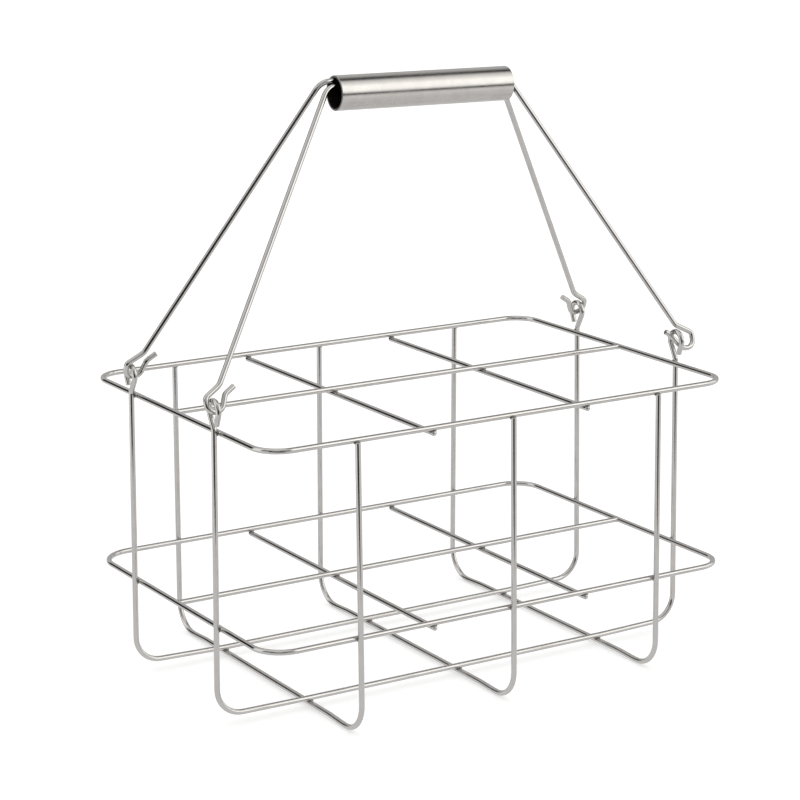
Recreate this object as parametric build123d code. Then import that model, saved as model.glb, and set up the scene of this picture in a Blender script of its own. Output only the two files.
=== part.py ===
from build123d import *
import os
import math

os.makedirs("parts", exist_ok=True)

# ---------------------------------------------------------------- dimensions
# Millimetres. +Z up, X along the long side, front is -Y. The origin is the
# centre of the basket's plan, on the surface the carrier stands on.

WIRE_D = 3.5              # round stainless wire, all wire parts
R = WIRE_D / 2
LAP = 3.3                 # centre distance of two wires welded across each other

UP_A, UP_B = 168.25, 116.3        # upper ring, half length and half depth (wire centre)
UP_R, UP_Z = 17.6, 184.8          # upper ring, corner radius and height
LO_A, LO_B = 169.7, 116.8         # lower ring
LO_R, LO_Z = 19.0, 62.3
LO_R_LB = 22.0                    # its left back corner is bent wider

DIV_Y = 0.8                       # long dividers, middle of the depth
DIV_BUTT = 1.2                    # how far short of the ring wire centre they end
CROSS_X = {"left": -54.7, "right": 57.9}
CROSS_FRONT = 1.9                 # front tips past the ring wire centre
CROSS_BACK = 1.0                  # back ends past the ring wire centre

LONG_Y = {"front": -57.6, "back": 54.15}
LONG_Z = 5.95                     # bottom rails, lying on the cross rails
LONG_FLAT = (-112.0, 114.0)       # and rising a little outside these
LONG_RISE = {"front": (0.7, 1.2), "back": (1.7, 1.1)}     # by this much at the left and right bends
LONG_BEND = 17.3
CROSS_U_X = {"left": -108.6, "middle": 1.6, "right": 111.4}
CROSS_U_Z = R                     # lowest wires, on the floor at both ends
CROSS_U_RISE = 0.8                # and bowed up this much in between
CROSS_U_BOW = (98.0, 82.0)        # where the rise starts and ends, from the middle
CROSS_U_BEND = 19.0
CROSS_U_TOP_IN = 2.4              # tops outside the upper ring wire centre
CROSS_U_TOP_Z = UP_Z - 1.0        # tops end beside the upper ring

EYE_R = 6.0                       # eye, bend radius at the wire centre
EYE_Z, EYE_V = 14.7, 0.3          # eye centre above the ring, and outward
EYE_LEAN_Z = 2.5                  # where the shank starts to lean
EYE_END = (3.4, 6.2)              # free end, outward and above the ring
EYE_SHANK_BEND = 4.0
# how much lower each eye and its free end sit: (side, y side): (eye, end)
EYE_DROP = {(-1, 1): (1.4, 0.0), (-1, -1): (0.8, 0.8), (1, 1): (0.15, 0.0), (1, -1): (0.0, 0.0)}

HINGE_Z = UP_Z + 12.0             # pivot line of each bail, in its two eyes
TOP_BEND = 10.0
# corner points of the bails' top runs, inside the ends of the grip tube
TOPS = {
    ("back", -1): (-60.21, 3.95, 379.54),
    ("back", 1): (66.57, -1.36, 377.86),
    ("front", -1): (-57.48, 0.64, 376.50),
    ("front", 1): (71.65, -4.78, 374.78),
}
# hooks, as corner points of the bent wire in the bail's own plane:
# (distance from the middle, distance up from the pivot line)
HOOKS = {
    ("back", -1): [(164.1, 15.9), (175.3, 9.6), (175.3, 0.2), (165.6, 0.2), (161.6, 10.2), (155.3, 14.3)],
    ("front", -1): [(164.75, 16.4), (175.3, 9.9), (175.3, 0.8), (165.7, 0.8), (162.0, 10.6), (155.3, 14.7)],
    ("back", 1): [(164.8, 17.6), (175.3, 11.0), (175.3, 2.3), (165.6, 2.3), (161.6, 11.6), (155.3, 15.7)],
    # this foot is splayed outwards
    ("front", 1): [(173.7, 12.8), (185.7, 6.4), (185.7, -3.2), (177.0, -3.2), (166.7, 8.0), (164.6, 9.2)],
}
HOOK_BENDS = {
    ("back", -1): (9.0, 3.5, 5.6, 5.6, 4.5),
    ("front", -1): (9.0, 3.5, 5.6, 5.6, 4.5),
    ("back", 1): (9.0, 3.5, 5.6, 5.6, 4.5),
    ("front", 1): (5.0, 3.5, 5.2, 5.2, 4.5),
}

GRIP_OD, GRIP_WALL, GRIP_L = 22.0, 1.5, 124.0
GRIP_C = (10.2, -0.2, 371.2)
GRIP_YAW, GRIP_TILT = -2.4, -0.76     # degrees, how the tube lies on the wires
GRIP_RIM = 0.35

TIP = 0.45                        # rounding of cut wire ends
ROUND_TIP = 1.3                   # rounding of the cross dividers' front tips


# ---------------------------------------------------------------- wire bending
def corner(a, b, c, r):
    """Tangent points, middle, centre and axis of the bend at b."""
    u = (a - b).normalized()
    w = (c - b).normalized()
    ang = math.acos(max(-1.0, min(1.0, u.dot(w))))
    t = r / math.tan(ang / 2)
    p, q = b + u * t, b + w * t
    bis = (u + w).normalized()
    cen = b + bis * (r / math.sin(ang / 2))
    axis = u.cross(w).normalized()
    return p, q, cen, axis, math.degrees(math.pi - ang)


def straight(a, b, tip_a=0.0, tip_b=0.0):
    d = b - a
    rod = Solid.make_cylinder(R, d.length, Plane(origin=a, z_dir=d.normalized()))
    for end, r in ((a, tip_a), (b, tip_b)):
        if r > 0:
            edge = sorted(rod.edges().filter_by(GeomType.CIRCLE), key=lambda e: (e.arc_center - end).length)[0]
            rod = rod.fillet(r, [edge])
    return rod


def bend(p, cen, axis, turn, along):
    """Quarter-like bend: the round section at p turned about the bend's axis."""
    face = Plane(origin=p, z_dir=along.normalized()) * Circle(R)
    return Solid.revolve(face.face(), turn, Axis(cen, axis), None)


def bent_wire(points, radii, closed=False, tips=(TIP, TIP)):
    pts = [Vector(*p) for p in points]
    n = len(pts)
    pieces = []
    if closed:
        info = [corner(pts[i - 1], pts[i], pts[(i + 1) % n], radii[i]) for i in range(n)]
        for i in range(n):
            p, q, cen, axis, turn = info[i]
            pieces.append(bend(q, cen, axis, turn, pts[(i + 1) % n] - pts[i]))
            pieces.append(straight(q, info[(i + 1) % n][0]))
    else:
        cur = pts[0]
        for i in range(1, n - 1):
            p, q, cen, axis, turn = corner(pts[i - 1], pts[i], pts[i + 1], radii[i])
            pieces.append(straight(cur, p, tips[0] if i == 1 else 0.0))
            pieces.append(bend(q, cen, axis, turn, pts[i + 1] - pts[i]))
            cur = q
        pieces.append(straight(cur, pts[-1], tips[0] if n == 2 else 0.0, tips[1]))
    whole = pieces[0].fuse(*pieces[1:]) if len(pieces) > 1 else pieces[0]
    return whole


# ---------------------------------------------------------------- basket
def ring(a, b, r, z, r_left_back):
    return bent_wire([(a, b, z), (-a, b, z), (-a, -b, z), (a, -b, z)], [r, r_left_back, r, r], closed=True)


def cross_divider(x, b, z):
    return straight(Vector(x, -b - CROSS_FRONT, z), Vector(x, b + CROSS_BACK, z), ROUND_TIP, TIP)


def long_divider(a, z):
    return straight(Vector(-a + DIV_BUTT, DIV_Y, z), Vector(a - DIV_BUTT, DIV_Y, z))


def eye_points(side, y):
    """Corner points of one eye, from the shank's lean to the free end."""
    x = side * (UP_A + LAP)
    out = 1.0 if y > 0 else -1.0
    z1 = UP_Z + EYE_LEAN_Z
    drop = EYE_DROP[(side, int(out))]
    cv, cz = EYE_V, UP_Z + EYE_Z - drop[0]
    dv, dz = cv, cz - z1
    dist = math.hypot(dv, dz)
    ang = math.atan2(dv, dz) - math.asin(EYE_R / dist)
    run = math.sqrt(dist ** 2 - EYE_R ** 2)
    on = (run * math.sin(ang), z1 + run * math.cos(ang))
    ev, ez = EYE_END[0], UP_Z + EYE_END[1] - drop[1]
    dv, dz = cv - ev, cz - ez
    dist = math.hypot(dv, dz)
    ang2 = math.atan2(dv, dz) + math.asin(EYE_R / dist)
    run = math.sqrt(dist ** 2 - EYE_R ** 2)
    off = (ev + run * math.sin(ang2), ez + run * math.cos(ang2))

    def at(v, z):
        return Vector(x, y + out * v, z)

    return at(0, z1), at(*on), at(cv, cz), at(*off), at(ev, ez)


def long_u_wire(y, rise):
    xu, xl = UP_A + LAP, LO_A + LAP
    slope = (xl - xu) / (UP_Z - LO_Z)
    xb = xu + slope * (UP_Z - LONG_Z)
    pieces = []
    mid = []
    for side in (-1, 1):
        shank, on, cen, off, end = eye_points(side, y)
        mid.append((on, shank))
        # the loop, turned about the eye's centre from the leaning shank to the free leg
        a0 = math.atan2(on.Z - cen.Z, on.Y - cen.Y)
        a1 = math.atan2(off.Z - cen.Z, off.Y - cen.Y)
        up = math.pi / 2
        turn = math.degrees(abs((a0 - up + math.pi) % (2 * math.pi) - math.pi)
                            + abs((a1 - up + math.pi) % (2 * math.pi) - math.pi))
        first = (on - shank).normalized()
        axis = (on - cen).cross(first).normalized()
        pieces.append(bend(on, cen, axis, turn, first))
        pieces.append(straight(off, end, 0.0, TIP))
    (on_l, sh_l), (on_r, sh_r) = mid
    body = bent_wire(
        [tuple(on_l), tuple(sh_l), (-xb, y, LONG_Z + rise[0]), (LONG_FLAT[0], y, LONG_Z),
         (LONG_FLAT[1], y, LONG_Z), (xb, y, LONG_Z + rise[1]), tuple(sh_r), tuple(on_r)],
        [0, EYE_SHANK_BEND, LONG_BEND, 200.0, 200.0, LONG_BEND, EYE_SHANK_BEND, 0],
        tips=(0.0, 0.0),
    )
    return body.fuse(*pieces)


def cross_u_wire(x):
    yl, yu = LO_B + LAP, UP_B + CROSS_U_TOP_IN
    slope = (yl - yu) / (UP_Z - LO_Z)
    yb = yl + slope * (LO_Z - CROSS_U_Z)
    y1, y2 = CROSS_U_BOW
    zf, zm = CROSS_U_Z, CROSS_U_Z + CROSS_U_RISE
    return bent_wire(
        [(x, -yu, CROSS_U_TOP_Z), (x, -yb, zf), (x, -y1, zf), (x, -y2, zm),
         (x, y2, zm), (x, y1, zf), (x, yb, zf), (x, yu, CROSS_U_TOP_Z)],
        [0, CROSS_U_BEND, 60.0, 60.0, 60.0, 60.0, CROSS_U_BEND, 0],
    )


# ---------------------------------------------------------------- handle
def hook_points(which, side):
    y = LONG_Y[which]
    top = TOPS[(which, side)]
    dy, dz = top[1] - y, top[2] - HINGE_Z
    ln = math.hypot(dy, dz)
    dy, dz = dy / ln, dz / ln
    return [(side * x, y + dy * s, HINGE_Z + dz * s) for x, s in HOOKS[(which, side)]]


def bail(which):
    left, right = hook_points(which, -1), hook_points(which, 1)
    pts = left[::-1] + [TOPS[(which, -1)], TOPS[(which, 1)]] + right
    radii = [0] + list(HOOK_BENDS[(which, -1)])[::-1] + [TOP_BEND, TOP_BEND] + list(HOOK_BENDS[(which, 1)]) + [0]
    return bent_wire(pts, radii)


def grip_tube():
    yaw, tilt = math.radians(GRIP_YAW), math.radians(GRIP_TILT)
    along = Vector(math.cos(yaw) * math.cos(tilt), math.sin(yaw) * math.cos(tilt), math.sin(tilt))
    start = Vector(*GRIP_C) - along * (GRIP_L / 2)
    pl = Plane(origin=start, z_dir=along)
    tube = Solid.make_cylinder(GRIP_OD / 2, GRIP_L, pl) - Solid.make_cylinder(GRIP_OD / 2 - GRIP_WALL, GRIP_L, pl)
    tube = tube.solid() if hasattr(tube, "solid") else tube
    return tube.fillet(GRIP_RIM, tube.edges().filter_by(GeomType.CIRCLE))


parts = {
    "upper_ring": ring(UP_A, UP_B, UP_R, UP_Z, UP_R),
    "lower_ring": ring(LO_A, LO_B, LO_R, LO_Z, LO_R_LB),
    "upper_long_divider": long_divider(UP_A, UP_Z),
    "lower_long_divider": long_divider(LO_A, LO_Z),
    "front_bail": bail("front"),
    "back_bail": bail("back"),
    "grip_tube": grip_tube(),
}
for side, x in CROSS_X.items():
    parts["upper_cross_divider_" + side] = cross_divider(x, UP_B, UP_Z - LAP)
    parts["lower_cross_divider_" + side] = cross_divider(x, LO_B, LO_Z - LAP)
for side, y in LONG_Y.items():
    parts["long_u_wire_" + side] = long_u_wire(y, LONG_RISE[side])
for side, x in CROSS_U_X.items():
    parts["cross_u_wire_" + side] = cross_u_wire(x)

for name, shape in sorted(parts.items()):
    solids = shape.solids()
    box = shape.bounding_box()
    print(name, "solids", len(solids), "valid", solids[0].is_valid if not callable(solids[0].is_valid) else solids[0].is_valid(),
          "volume", round(sum(s.volume for s in solids), 1),
          "box", [round(v, 2) for v in (box.min.X, box.min.Y, box.min.Z, box.max.X, box.max.Y, box.max.Z)])
    out = solids[0] if len(solids) == 1 else shape
    out.label = name
    export_step(out, os.path.join("parts", name + ".step"))
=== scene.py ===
import math
import bpy
import bmesh
from mathutils import Matrix, Vector, noise


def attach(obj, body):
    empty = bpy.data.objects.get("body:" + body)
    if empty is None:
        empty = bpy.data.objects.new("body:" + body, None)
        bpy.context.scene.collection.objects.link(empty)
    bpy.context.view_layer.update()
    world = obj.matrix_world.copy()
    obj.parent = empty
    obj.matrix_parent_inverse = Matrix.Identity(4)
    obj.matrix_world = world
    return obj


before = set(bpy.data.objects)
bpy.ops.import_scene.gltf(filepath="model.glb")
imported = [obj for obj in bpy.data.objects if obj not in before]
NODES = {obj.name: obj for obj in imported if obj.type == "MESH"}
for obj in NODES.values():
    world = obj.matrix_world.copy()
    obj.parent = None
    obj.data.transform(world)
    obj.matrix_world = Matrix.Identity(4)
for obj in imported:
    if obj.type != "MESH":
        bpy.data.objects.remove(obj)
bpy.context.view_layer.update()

MM = 0.001
scene = bpy.context.scene

# ------------------------------------------------------------------ camera
AZ, EL, ROLL = math.radians(-31.5754), math.radians(14.0201), math.radians(-0.2683)
TARGET = Vector((-6.256, 0.0, 170.558)) * MM
DIST = 1670.96 * MM
FOCAL_PX = 2589.27

back = Vector((math.sin(AZ) * math.cos(EL), -math.cos(AZ) * math.cos(EL), math.sin(EL)))
right = (-back).cross(Vector((0, 0, 1))).normalized()
up = right.cross(-back)
r2 = right * math.cos(ROLL) + up * math.sin(ROLL)
u2 = up * math.cos(ROLL) - right * math.sin(ROLL)
eye = TARGET + back * DIST
aim = (-back - r2 * (0.5 / FOCAL_PX) + u2 * (0.5 / FOCAL_PX)).normalized()
cx = (r2 - aim * r2.dot(aim)).normalized()
cy = cx.cross(aim)
cam_data = bpy.data.cameras.new("camera")
cam_data.sensor_width = 36.0
cam_data.lens = FOCAL_PX * 36.0 / 800.0
cam_data.clip_start, cam_data.clip_end = 0.05, 60.0
cam = bpy.data.objects.new("camera", cam_data)
scene.collection.objects.link(cam)
m = Matrix((cx, cy, -aim)).transposed().to_4x4()
m.translation = eye
cam.matrix_world = m
scene.camera = cam

scene.view_settings.view_transform = "Standard"
scene.view_settings.look = "None"
scene.view_settings.exposure = 0.0
scene.view_settings.gamma = 1.0


# ------------------------------------------------------------------ node helpers
class Tree:
    def __init__(self, tree):
        self.t = tree
        tree.nodes.clear()

    def add(self, kind, **props):
        n = self.t.nodes.new(kind)
        for k, v in props.items():
            setattr(n, k, v)
        return n

    def link(self, a, b):
        self.t.links.new(a, b)

    def val(self, sock, v):
        if isinstance(v, bpy.types.NodeSocket):
            self.link(v, sock)
        else:
            sock.default_value = v

    def math(self, op, a, b=None, c=None, clamp=False):
        n = self.add("ShaderNodeMath", operation=op, use_clamp=clamp)
        self.val(n.inputs[0], a)
        if b is not None:
            self.val(n.inputs[1], b)
        if c is not None:
            self.val(n.inputs[2], c)
        return n.outputs[0]

    def vmath(self, op, a, b=None, scale=None):
        n = self.add("ShaderNodeVectorMath", operation=op)
        self.val(n.inputs[0], a)
        if b is not None:
            self.val(n.inputs[1], b)
        if scale is not None:
            self.val(n.inputs["Scale"], scale)
        return n

    def ramp(self, x, a0, a1, b0=0.0, b1=1.0, smooth=True):
        n = self.add("ShaderNodeMapRange", interpolation_type="SMOOTHSTEP" if smooth else "LINEAR")
        self.val(n.inputs["Value"], x)
        n.inputs["From Min"].default_value = a0
        n.inputs["From Max"].default_value = a1
        n.inputs["To Min"].default_value = b0
        n.inputs["To Max"].default_value = b1
        return n.outputs["Result"]

    def window(self, x, lo, hi, soft):
        return self.math("MULTIPLY", self.ramp(x, lo - soft, lo + soft), self.ramp(x, hi - soft, hi + soft, 1.0, 0.0))

    def steps(self, x, lo, hi, stops):
        """Piecewise straight curve through (x, value) stops."""
        n = self.add("ShaderNodeValToRGB")
        self.val(n.inputs[0], self.ramp(x, lo, hi, smooth=False))
        e = n.color_ramp.elements
        while len(e) < len(stops):
            e.new(0.5)
        for k, (at, v) in enumerate(sorted(stops)):
            e[k].position = (at - lo) / (hi - lo)
            e[k].color = (v, v, v, 1)
        return n.outputs[0]

    def mix(self, f, a, b):
        n = self.add("ShaderNodeMix", data_type="FLOAT")
        self.val(n.inputs[0], f)
        self.val(n.inputs[2], a)
        self.val(n.inputs[3], b)
        return n.outputs[0]

    def mixc(self, f, a, b):
        n = self.add("ShaderNodeMix", data_type="RGBA")
        self.val(n.inputs[0], f)
        self.val(n.inputs[6], a)
        self.val(n.inputs[7], b)
        return n.outputs[2]

    def noise(self, vec, scale, detail=2.0, rough=0.5, dist=0.0):
        n = self.add("ShaderNodeTexNoise")
        self.val(n.inputs["Vector"], vec)
        n.inputs["Scale"].default_value = scale
        n.inputs["Detail"].default_value = detail
        n.inputs["Roughness"].default_value = rough
        n.inputs["Distortion"].default_value = dist
        return n.outputs["Fac"]


# ------------------------------------------------------------------ studio
world = bpy.data.worlds.new("studio")
scene.world = world
world.use_nodes = True
w = Tree(world.node_tree)
tc = w.add("ShaderNodeTexCoord")
sep = w.add("ShaderNodeSeparateXYZ")
w.link(tc.outputs["Generated"], sep.inputs[0])
X, Y, Z = sep.outputs
neg_y = w.math("MULTIPLY", Y, -1.0)
# angle about the X axis, 0 to the front, 90 straight up
ang_x = w.math("MULTIPLY", w.math("ARCTAN2", Z, neg_y), 180 / math.pi)
# compass direction, 0 to the front, positive to the right
ang_z = w.math("MULTIPLY", w.math("ARCTAN2", X, neg_y), 180 / math.pi)
elev = w.math("MULTIPLY", w.math("ARCSINE", Z), 180 / math.pi)

def patch(az0, az1, el0, el1, soft):
    return w.math("MULTIPLY", w.window(ang_z, az0, az1, soft), w.window(elev, el0, el1, soft))


# base: grey room above, pale floor below
lum = w.mix(w.ramp(Z, -0.12, 0.0), 0.66, 0.56)
lum = w.mix(w.ramp(Z, 0.70, 0.98), lum, 0.80)
# soft box at the front right, and one at the left
lum = w.mix(patch(27.0, 92.0, -3.0, 56.0, 4.0), lum, 1.16)
lum = w.mix(patch(-138.0, -94.0, -26.0, 48.0, 7.0), lum, 1.05)
lum = w.mix(patch(20.0, 62.0, -40.0, -9.0, 5.0), lum, 0.78)
# dark room round the camera, beyond the front edge of the table
lum = w.mix(patch(-92.0, -52.0, 6.0, 32.0, 6.0), lum, 0.12)
lum = w.mix(patch(-24.0, 29.0, -12.0, 58.0, 6.0), lum, 0.38)
lum = w.mix(patch(-62.0, -10.0, -60.0, 15.0, 5.0), lum, 0.01)
lum = w.mix(patch(-20.0, -2.0, -60.0, -11.5, 3.0), lum, 0.02)
# dark gap between the soft box and the backdrop
lum = w.mix(patch(118.0, 147.0, 24.0, 56.0, 6.0), lum, 0.12)
lum = w.mix(patch(124.0, 168.0, -22.0, 12.0, 6.0), lum, 0.20)
lum = w.mix(patch(-164.0, -131.0, -7.0, 32.0, 4.0), lum, 0.01)

# right-hand side of the studio: big front box, gap, backdrop, table
side = w.steps(ang_x, -180.0, 180.0, [
    (-180, 0.42), (-107, 0.58), (-52, 0.68), (-31, 0.80), (-20, 0.86), (-13, 0.62), (-8, 0.01), (-3, 0.01),
    (2, 0.62), (7, 1.15), (16, 1.52), (44, 1.58), (54, 1.26), (64, 1.02), (74, 0.87), (80, 0.68), (85, 0.46),
    (91, 0.12), (97, 0.03), (104, 0.05), (111, 0.22), (119, 0.40), (130, 0.54), (145, 0.56), (180, 0.42)])
lum = w.mix(w.window(X, 0.28, 0.74, 0.07), lum, side)

lp = w.add("ShaderNodeLightPath")
bg = w.add("ShaderNodeBackground")
warm = w.ramp(lum, 0.7, 1.1)
comb = w.add("ShaderNodeCombineColor")
w.link(w.math("MULTIPLY", lum, w.mix(warm, 1.0, 1.0)), comb.inputs[0])
w.link(w.math("MULTIPLY", lum, w.mix(warm, 0.985, 0.99)), comb.inputs[1])
w.link(w.math("MULTIPLY", lum, w.mix(warm, 0.975, 0.955)), comb.inputs[2])
w.link(comb.outputs[0], bg.inputs["Color"])
bg.inputs["Strength"].default_value = 1.0
bgc = w.add("ShaderNodeBackground")
bgc.inputs["Color"].default_value = (0.99, 0.99, 0.985, 1)
bgd = w.add("ShaderNodeBackground")
bgd.inputs["Color"].default_value = (0.42, 0.42, 0.42, 1)
mixd = w.add("ShaderNodeMixShader")
w.link(lp.outputs["Is Diffuse Ray"], mixd.inputs[0])
w.link(bg.outputs[0], mixd.inputs[1])
w.link(bgd.outputs[0], mixd.inputs[2])
mixs = w.add("ShaderNodeMixShader")
w.link(lp.outputs["Is Camera Ray"], mixs.inputs[0])
w.link(mixd.outputs[0], mixs.inputs[1])
w.link(bgc.outputs[0], mixs.inputs[2])
wo = w.add("ShaderNodeOutputWorld")
w.link(mixs.outputs[0], wo.inputs["Surface"])


def plane(name, corners, mat):
    me = bpy.data.meshes.new(name)
    me.from_pydata(corners, [], [tuple(range(len(corners)))])
    me.materials.append(mat)
    o = bpy.data.objects.new(name, me)
    scene.collection.objects.link(o)
    return o


def paper(name, c0, c1, glow, tint=(1, 1, 1)):
    mat = bpy.data.materials.new(name)
    mat.use_nodes = True
    t = Tree(mat.node_tree)
    b = t.add("ShaderNodeBsdfDiffuse")
    geo = t.add("ShaderNodeTexCoord")
    n = t.noise(geo.outputs["Object"], 3.0, 3.0)
    t.link(t.mixc(n, (c0, c0, c0 * 0.995, 1), (c1, c1, c1 * 0.995, 1)), b.inputs["Color"])
    e = t.add("ShaderNodeEmission")
    e.inputs["Color"].default_value = (*tint, 1)
    e.inputs["Strength"].default_value = glow
    a = t.add("ShaderNodeAddShader")
    t.link(b.outputs[0], a.inputs[0])
    t.link(e.outputs[0], a.inputs[1])
    o = t.add("ShaderNodeOutputMaterial")
    t.link(a.outputs[0], o.inputs["Surface"])
    return mat


floor = plane("floor", [(-14, -14, 0), (14, -14, 0), (14, 14, 0), (-14, 14, 0)], paper("floor_paper", 0.86, 0.88, 0.40))
floor.visible_glossy = False
# the table top as the metal sees it, with its front edge
table = plane("table", [(-0.62, -0.44, -0.0005), (1.2, -0.44, -0.0005), (1.2, 0.9, -0.0005), (-0.62, 0.9, -0.0005)],
              paper("table_paper", 0.02, 0.03, 0.69, (1.0, 0.985, 0.98)))
table.visible_camera = False
table.visible_diffuse = False
table.visible_shadow = False

light = bpy.data.lights.new("overhead", "SUN")
light.angle = math.radians(120)
light.energy = 1.30
lamp = bpy.data.objects.new("overhead", light)
lamp.location = (0.5, 0.45, 1.7)
lamp.rotation_euler = (Vector((0, 0, 0)) - lamp.location).to_track_quat("-Z", "Y").to_euler()
lamp.visible_glossy = False
lamp.visible_camera = False
scene.collection.objects.link(lamp)


# ------------------------------------------------------------------ metal
def steel(name, colour, rough, grain=0.10, tint=None, extra=None):
    mat = bpy.data.materials.new(name)
    mat.use_nodes = True
    t = Tree(mat.node_tree)
    geo = t.add("ShaderNodeTexCoord")
    pos = geo.outputs["Object"]
    b = t.add("ShaderNodeBsdfPrincipled")
    b.inputs["Metallic"].default_value = 1.0
    fine = t.noise(pos, 900.0, 3.0, 0.6)
    mid = t.noise(pos, 140.0, 3.0, 0.55)
    slow = t.noise(pos, 22.0, 2.0, 0.5)
    shade = t.mixc(t.ramp(mid, 0.3, 0.7), (colour[0] * 0.94, colour[1] * 0.94, colour[2] * 0.935, 1), (*colour, 1))
    shade = t.mixc(t.math("MULTIPLY", t.ramp(slow, 0.45, 0.75), 0.35), shade, (colour[0] * 0.97, colour[1] * 0.94, colour[2] * 0.90, 1))
    r = t.mix(t.ramp(fine, 0.35, 0.65), rough * 0.85, rough * 1.2)
    r = t.mix(t.math("MULTIPLY", t.ramp(slow, 0.4, 0.7), 0.5), r, rough * 1.5)
    height = t.math("ADD", t.math("MULTIPLY", fine, 0.25), t.math("MULTIPLY", mid, 0.75))
    if extra:
        shade, r, height = extra(t, pos, shade, r, height)
    t.link(shade, b.inputs["Base Color"])
    t.link(r, b.inputs["Roughness"])
    bump = t.add("ShaderNodeBump")
    bump.inputs["Strength"].default_value = grain
    bump.inputs["Distance"].default_value = 0.0004
    t.link(height, bump.inputs["Height"])
    t.link(bump.outputs[0], b.inputs["Normal"])
    o = t.add("ShaderNodeOutputMaterial")
    t.link(b.outputs[0], o.inputs["Surface"])
    return mat


wire_mat = steel("wire_electropolished", (0.70, 0.69, 0.68), 0.11, grain=0.05)
# dark weld colour: partly dull weld metal, partly painted shade of the crevices where wires cross
weld_dark_shade_mat = steel("weld_metal", (0.26, 0.245, 0.23), 0.34, grain=0.5)

YAW, TILT = math.radians(-2.4), math.radians(-0.76)
G_AX = Vector((math.cos(YAW) * math.cos(TILT), math.sin(YAW) * math.cos(TILT), math.sin(TILT)))
G_C = Vector((10.2, -0.2, 371.2)) * MM
G_LEN = 124 * MM


def grip_extra(t, pos, shade, r, height):
    d = t.vmath("SUBTRACT", pos, tuple(G_C)).outputs[0]
    along = t.vmath("DOT_PRODUCT", d, tuple(G_AX)).outputs["Value"]
    radial = t.vmath("SUBTRACT", d, t.vmath("SCALE", tuple(G_AX), scale=along).outputs[0]).outputs[0]
    rad = t.vmath("LENGTH", radial).outputs["Value"]
    # mask of the tube's bore, which is coloured near black below as painted shade
    bore_shade = t.ramp(rad, 0.0097, 0.0099, 1.0, 0.0)
    # fine rings left by the grinding belt
    stretch = t.vmath("ADD", t.vmath("SCALE", tuple(G_AX), scale=t.math("MULTIPLY", along, 14.0)).outputs[0], radial).outputs[0]
    lines = t.noise(stretch, 260.0, 4.0, 0.65)
    height = t.math("ADD", t.math("MULTIPLY", height, 0.4), t.math("MULTIPLY", lines, 0.6))
    r = t.mix(t.ramp(lines, 0.35, 0.65), r, t.math("MULTIPLY", r, 1.25))
    # the cut faces of the tube are left as sawn
    end = t.ramp(t.math("ABSOLUTE", along), G_LEN / 2 - 0.00012, G_LEN / 2 - 0.00004)
    shade = t.mixc(end, shade, (0.30, 0.29, 0.28, 1))
    r = t.mix(end, r, 0.45)
    # painted shade: the bore is coloured near black; its higher roughness is the dull inner surface
    shade = t.mixc(bore_shade, shade, (0.05, 0.048, 0.045, 1))
    r = t.mix(bore_shade, r, 0.65)
    return shade, r, height


grip_mat = steel("grip_satin", (0.68, 0.665, 0.65), 0.17, grain=0.018, extra=grip_extra)

for name, o in NODES.items():
    o.data.materials.clear()
    o.data.materials.append(grip_mat if name == "grip_tube" else wire_mat)

# ------------------------------------------------------------------ weld metal (dark colour: dull metal plus painted crevice shade)
R = 1.75 * MM
UP_A, UP_B, UP_Z = 168.25 * MM, 116.3 * MM, 184.8 * MM
LO_A, LO_B, LO_Z = 169.7 * MM, 116.8 * MM, 62.3 * MM
LAP = 3.3 * MM
CROSS_X = (-54.7 * MM, 57.9 * MM)
LONG_Y = (-57.6 * MM, 54.15 * MM)
CROSS_U = (-108.6 * MM, 1.6 * MM, 111.4 * MM)
DIV_Y = 0.8 * MM
seed = [0]


def blob(name, centre, ax, ay, az, size, rough=0.10, mat=weld_dark_shade_mat, body="basket"):
    """Small fused lump: an ellipsoid along three axes, with an uneven surface."""
    seed[0] += 1
    bm = bmesh.new()
    bmesh.ops.create_icosphere(bm, subdivisions=4, radius=1.0)
    off = Vector((seed[0] * 7.3, seed[0] * 3.1, 0))
    for v in bm.verts:
        n = v.co.normalized()
        k = 1.0 + rough * noise.noise(n * 2.2 + off) + rough * 0.35 * noise.noise(n * 6.0 + off)
        p = n * k
        v.co = Vector(centre) + ax * (p.x * size[0]) + ay * (p.y * size[1]) + az * (p.z * size[2])
    me = bpy.data.meshes.new(name)
    bm.to_mesh(me)
    bm.free()
    for f in me.polygons:
        f.use_smooth = True
    me.materials.append(mat)
    o = bpy.data.objects.new(name, me)
    scene.collection.objects.link(o)
    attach(o, body)
    return o


EX, EY, EZ = Vector((1, 0, 0)), Vector((0, 1, 0)), Vector((0, 0, 1))
count = [0]


def weld(c, a, b, n, size=(1.92, 1.92, 1.0)):
    """Metal squeezed out where a wire along a lies on a wire along b; n joins their centres."""
    count[0] += 1
    blob("weld_%02d" % count[0], c, a, b, n, [s * MM for s in size])


for A, B, ZZ in ((UP_A, UP_B, UP_Z), (LO_A, LO_B, LO_Z)):
    for x in CROSS_X:
        weld((x, DIV_Y, ZZ - LAP / 2), EX, EY, EZ)
        weld((x, -B, ZZ - LAP / 2), EX, EY, EZ, (1.95, 1.8, 1.0))
        weld((x, B, ZZ - LAP / 2), EX, EY, EZ)
    for y in LONG_Y:
        for s in (-1, 1):
            weld((s * (A + LAP / 2), y, ZZ), EY, EZ, EX)
for x in CROSS_U:
    for s in (-1, 1):
        weld((x, s * (LO_B + LAP / 2), LO_Z), EX, EZ, EY)
        weld((x, s * (UP_B + 1.3 * MM), UP_Z - 1.3 * MM), EX, EY, EZ, (2.0, 1.9, 1.3))
    for y in LONG_Y:
        weld((x, y, 4.25 * MM), EX, EY, EZ)


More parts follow.
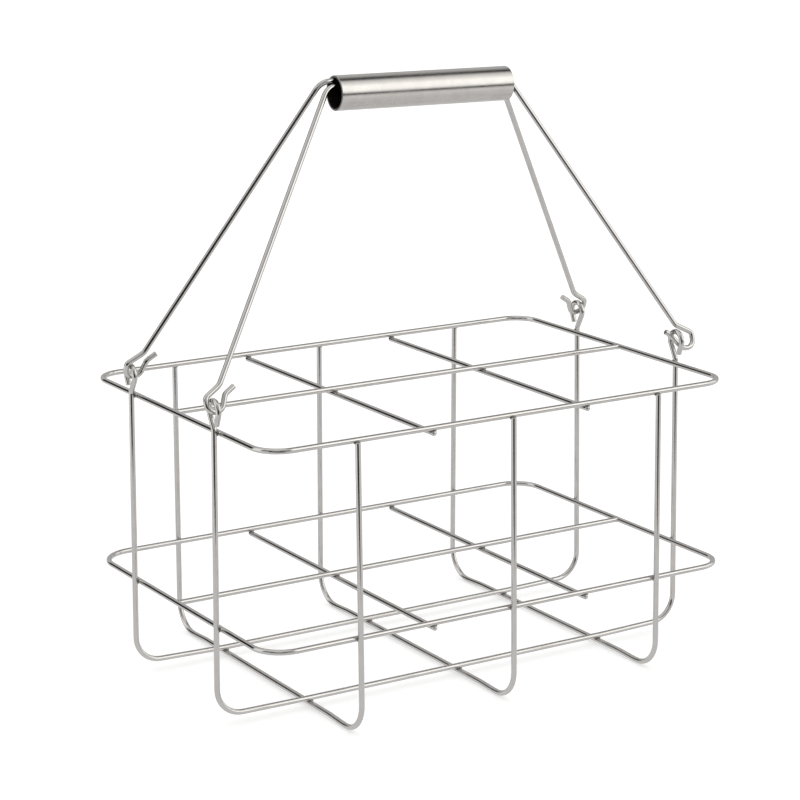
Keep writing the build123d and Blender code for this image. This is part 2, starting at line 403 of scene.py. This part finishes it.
def collar(name, centre, axis, r0, r1, length, mat=weld_dark_shade_mat):
    """Flared lump round a wire where it is butted against another."""
    seed[0] += 1
    seg, rows = 28, 9
    n1 = EZ if abs(axis.z) < 0.9 else EX
    e1 = axis.cross(n1).normalized()
    e2 = axis.cross(e1).normalized()
    verts, faces = [], []
    for i in range(rows):
        t = i / (rows - 1)
        rr = r0 + (r1 - r0) * (1 - t) ** 2.2
        if i == rows - 1:
            rr = r0 * 0.97
        for j in range(seg):
            a = 2 * math.pi * j / seg
            d = e1 * math.cos(a) + e2 * math.sin(a)
            k = 1.0 + 0.05 * noise.noise(Vector((math.cos(a) * 1.5, math.sin(a) * 1.5, t * 2 + seed[0] * 5.0))) * (1 - t)
            verts.append(Vector(centre) + axis * (length * t) + d * rr * k)
    for i in range(rows - 1):
        for j in range(seg):
            a, b = i * seg + j, i * seg + (j + 1) % seg
            faces.append((a, b, b + seg, a + seg))
    faces.append(tuple(reversed(range(seg))))
    faces.append(tuple(range((rows - 1) * seg, rows * seg)))
    me = bpy.data.meshes.new(name)
    me.from_pydata([tuple(v) for v in verts], [], faces)
    bm = bmesh.new()
    bm.from_mesh(me)
    bmesh.ops.recalc_face_normals(bm, faces=bm.faces)
    bm.to_mesh(me)
    bm.free()
    for f in me.polygons:
        f.use_smooth = True
    me.materials.append(mat)
    o = bpy.data.objects.new(name, me)
    scene.collection.objects.link(o)
    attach(o, "basket")
    return o


for tag, A, ZZ in (("upper", UP_A, UP_Z), ("lower", LO_A, LO_Z)):
    for s, side in ((-1, "left"), (1, "right")):
        collar("butt_%s_%s" % (tag, side), (s * (A - 1.0 * MM), DIV_Y, ZZ), EX * -s, 1.76 * MM, 2.1 * MM, 2.6 * MM, wire_mat)

# butt weld of each ring, on the bend at the back left corner
for tag, x, y, ZZ, turn in (("upper", -156.0, 115.47, UP_Z, 17.7), ("lower", -155.4, 115.41, LO_Z, 20.5)):
    a = math.radians(turn)
    run, out = Vector((math.cos(a), math.sin(a), 0)), Vector((-math.sin(a), math.cos(a), 0))
    c = Vector((x * MM, y * MM, ZZ)) + (EZ * 0.32 - out) * (0.5 * MM)
    blob("ring_butt_" + tag, c, run, out, EZ, (0.85 * MM, 1.3 * MM, 1.35 * MM), 0.04)
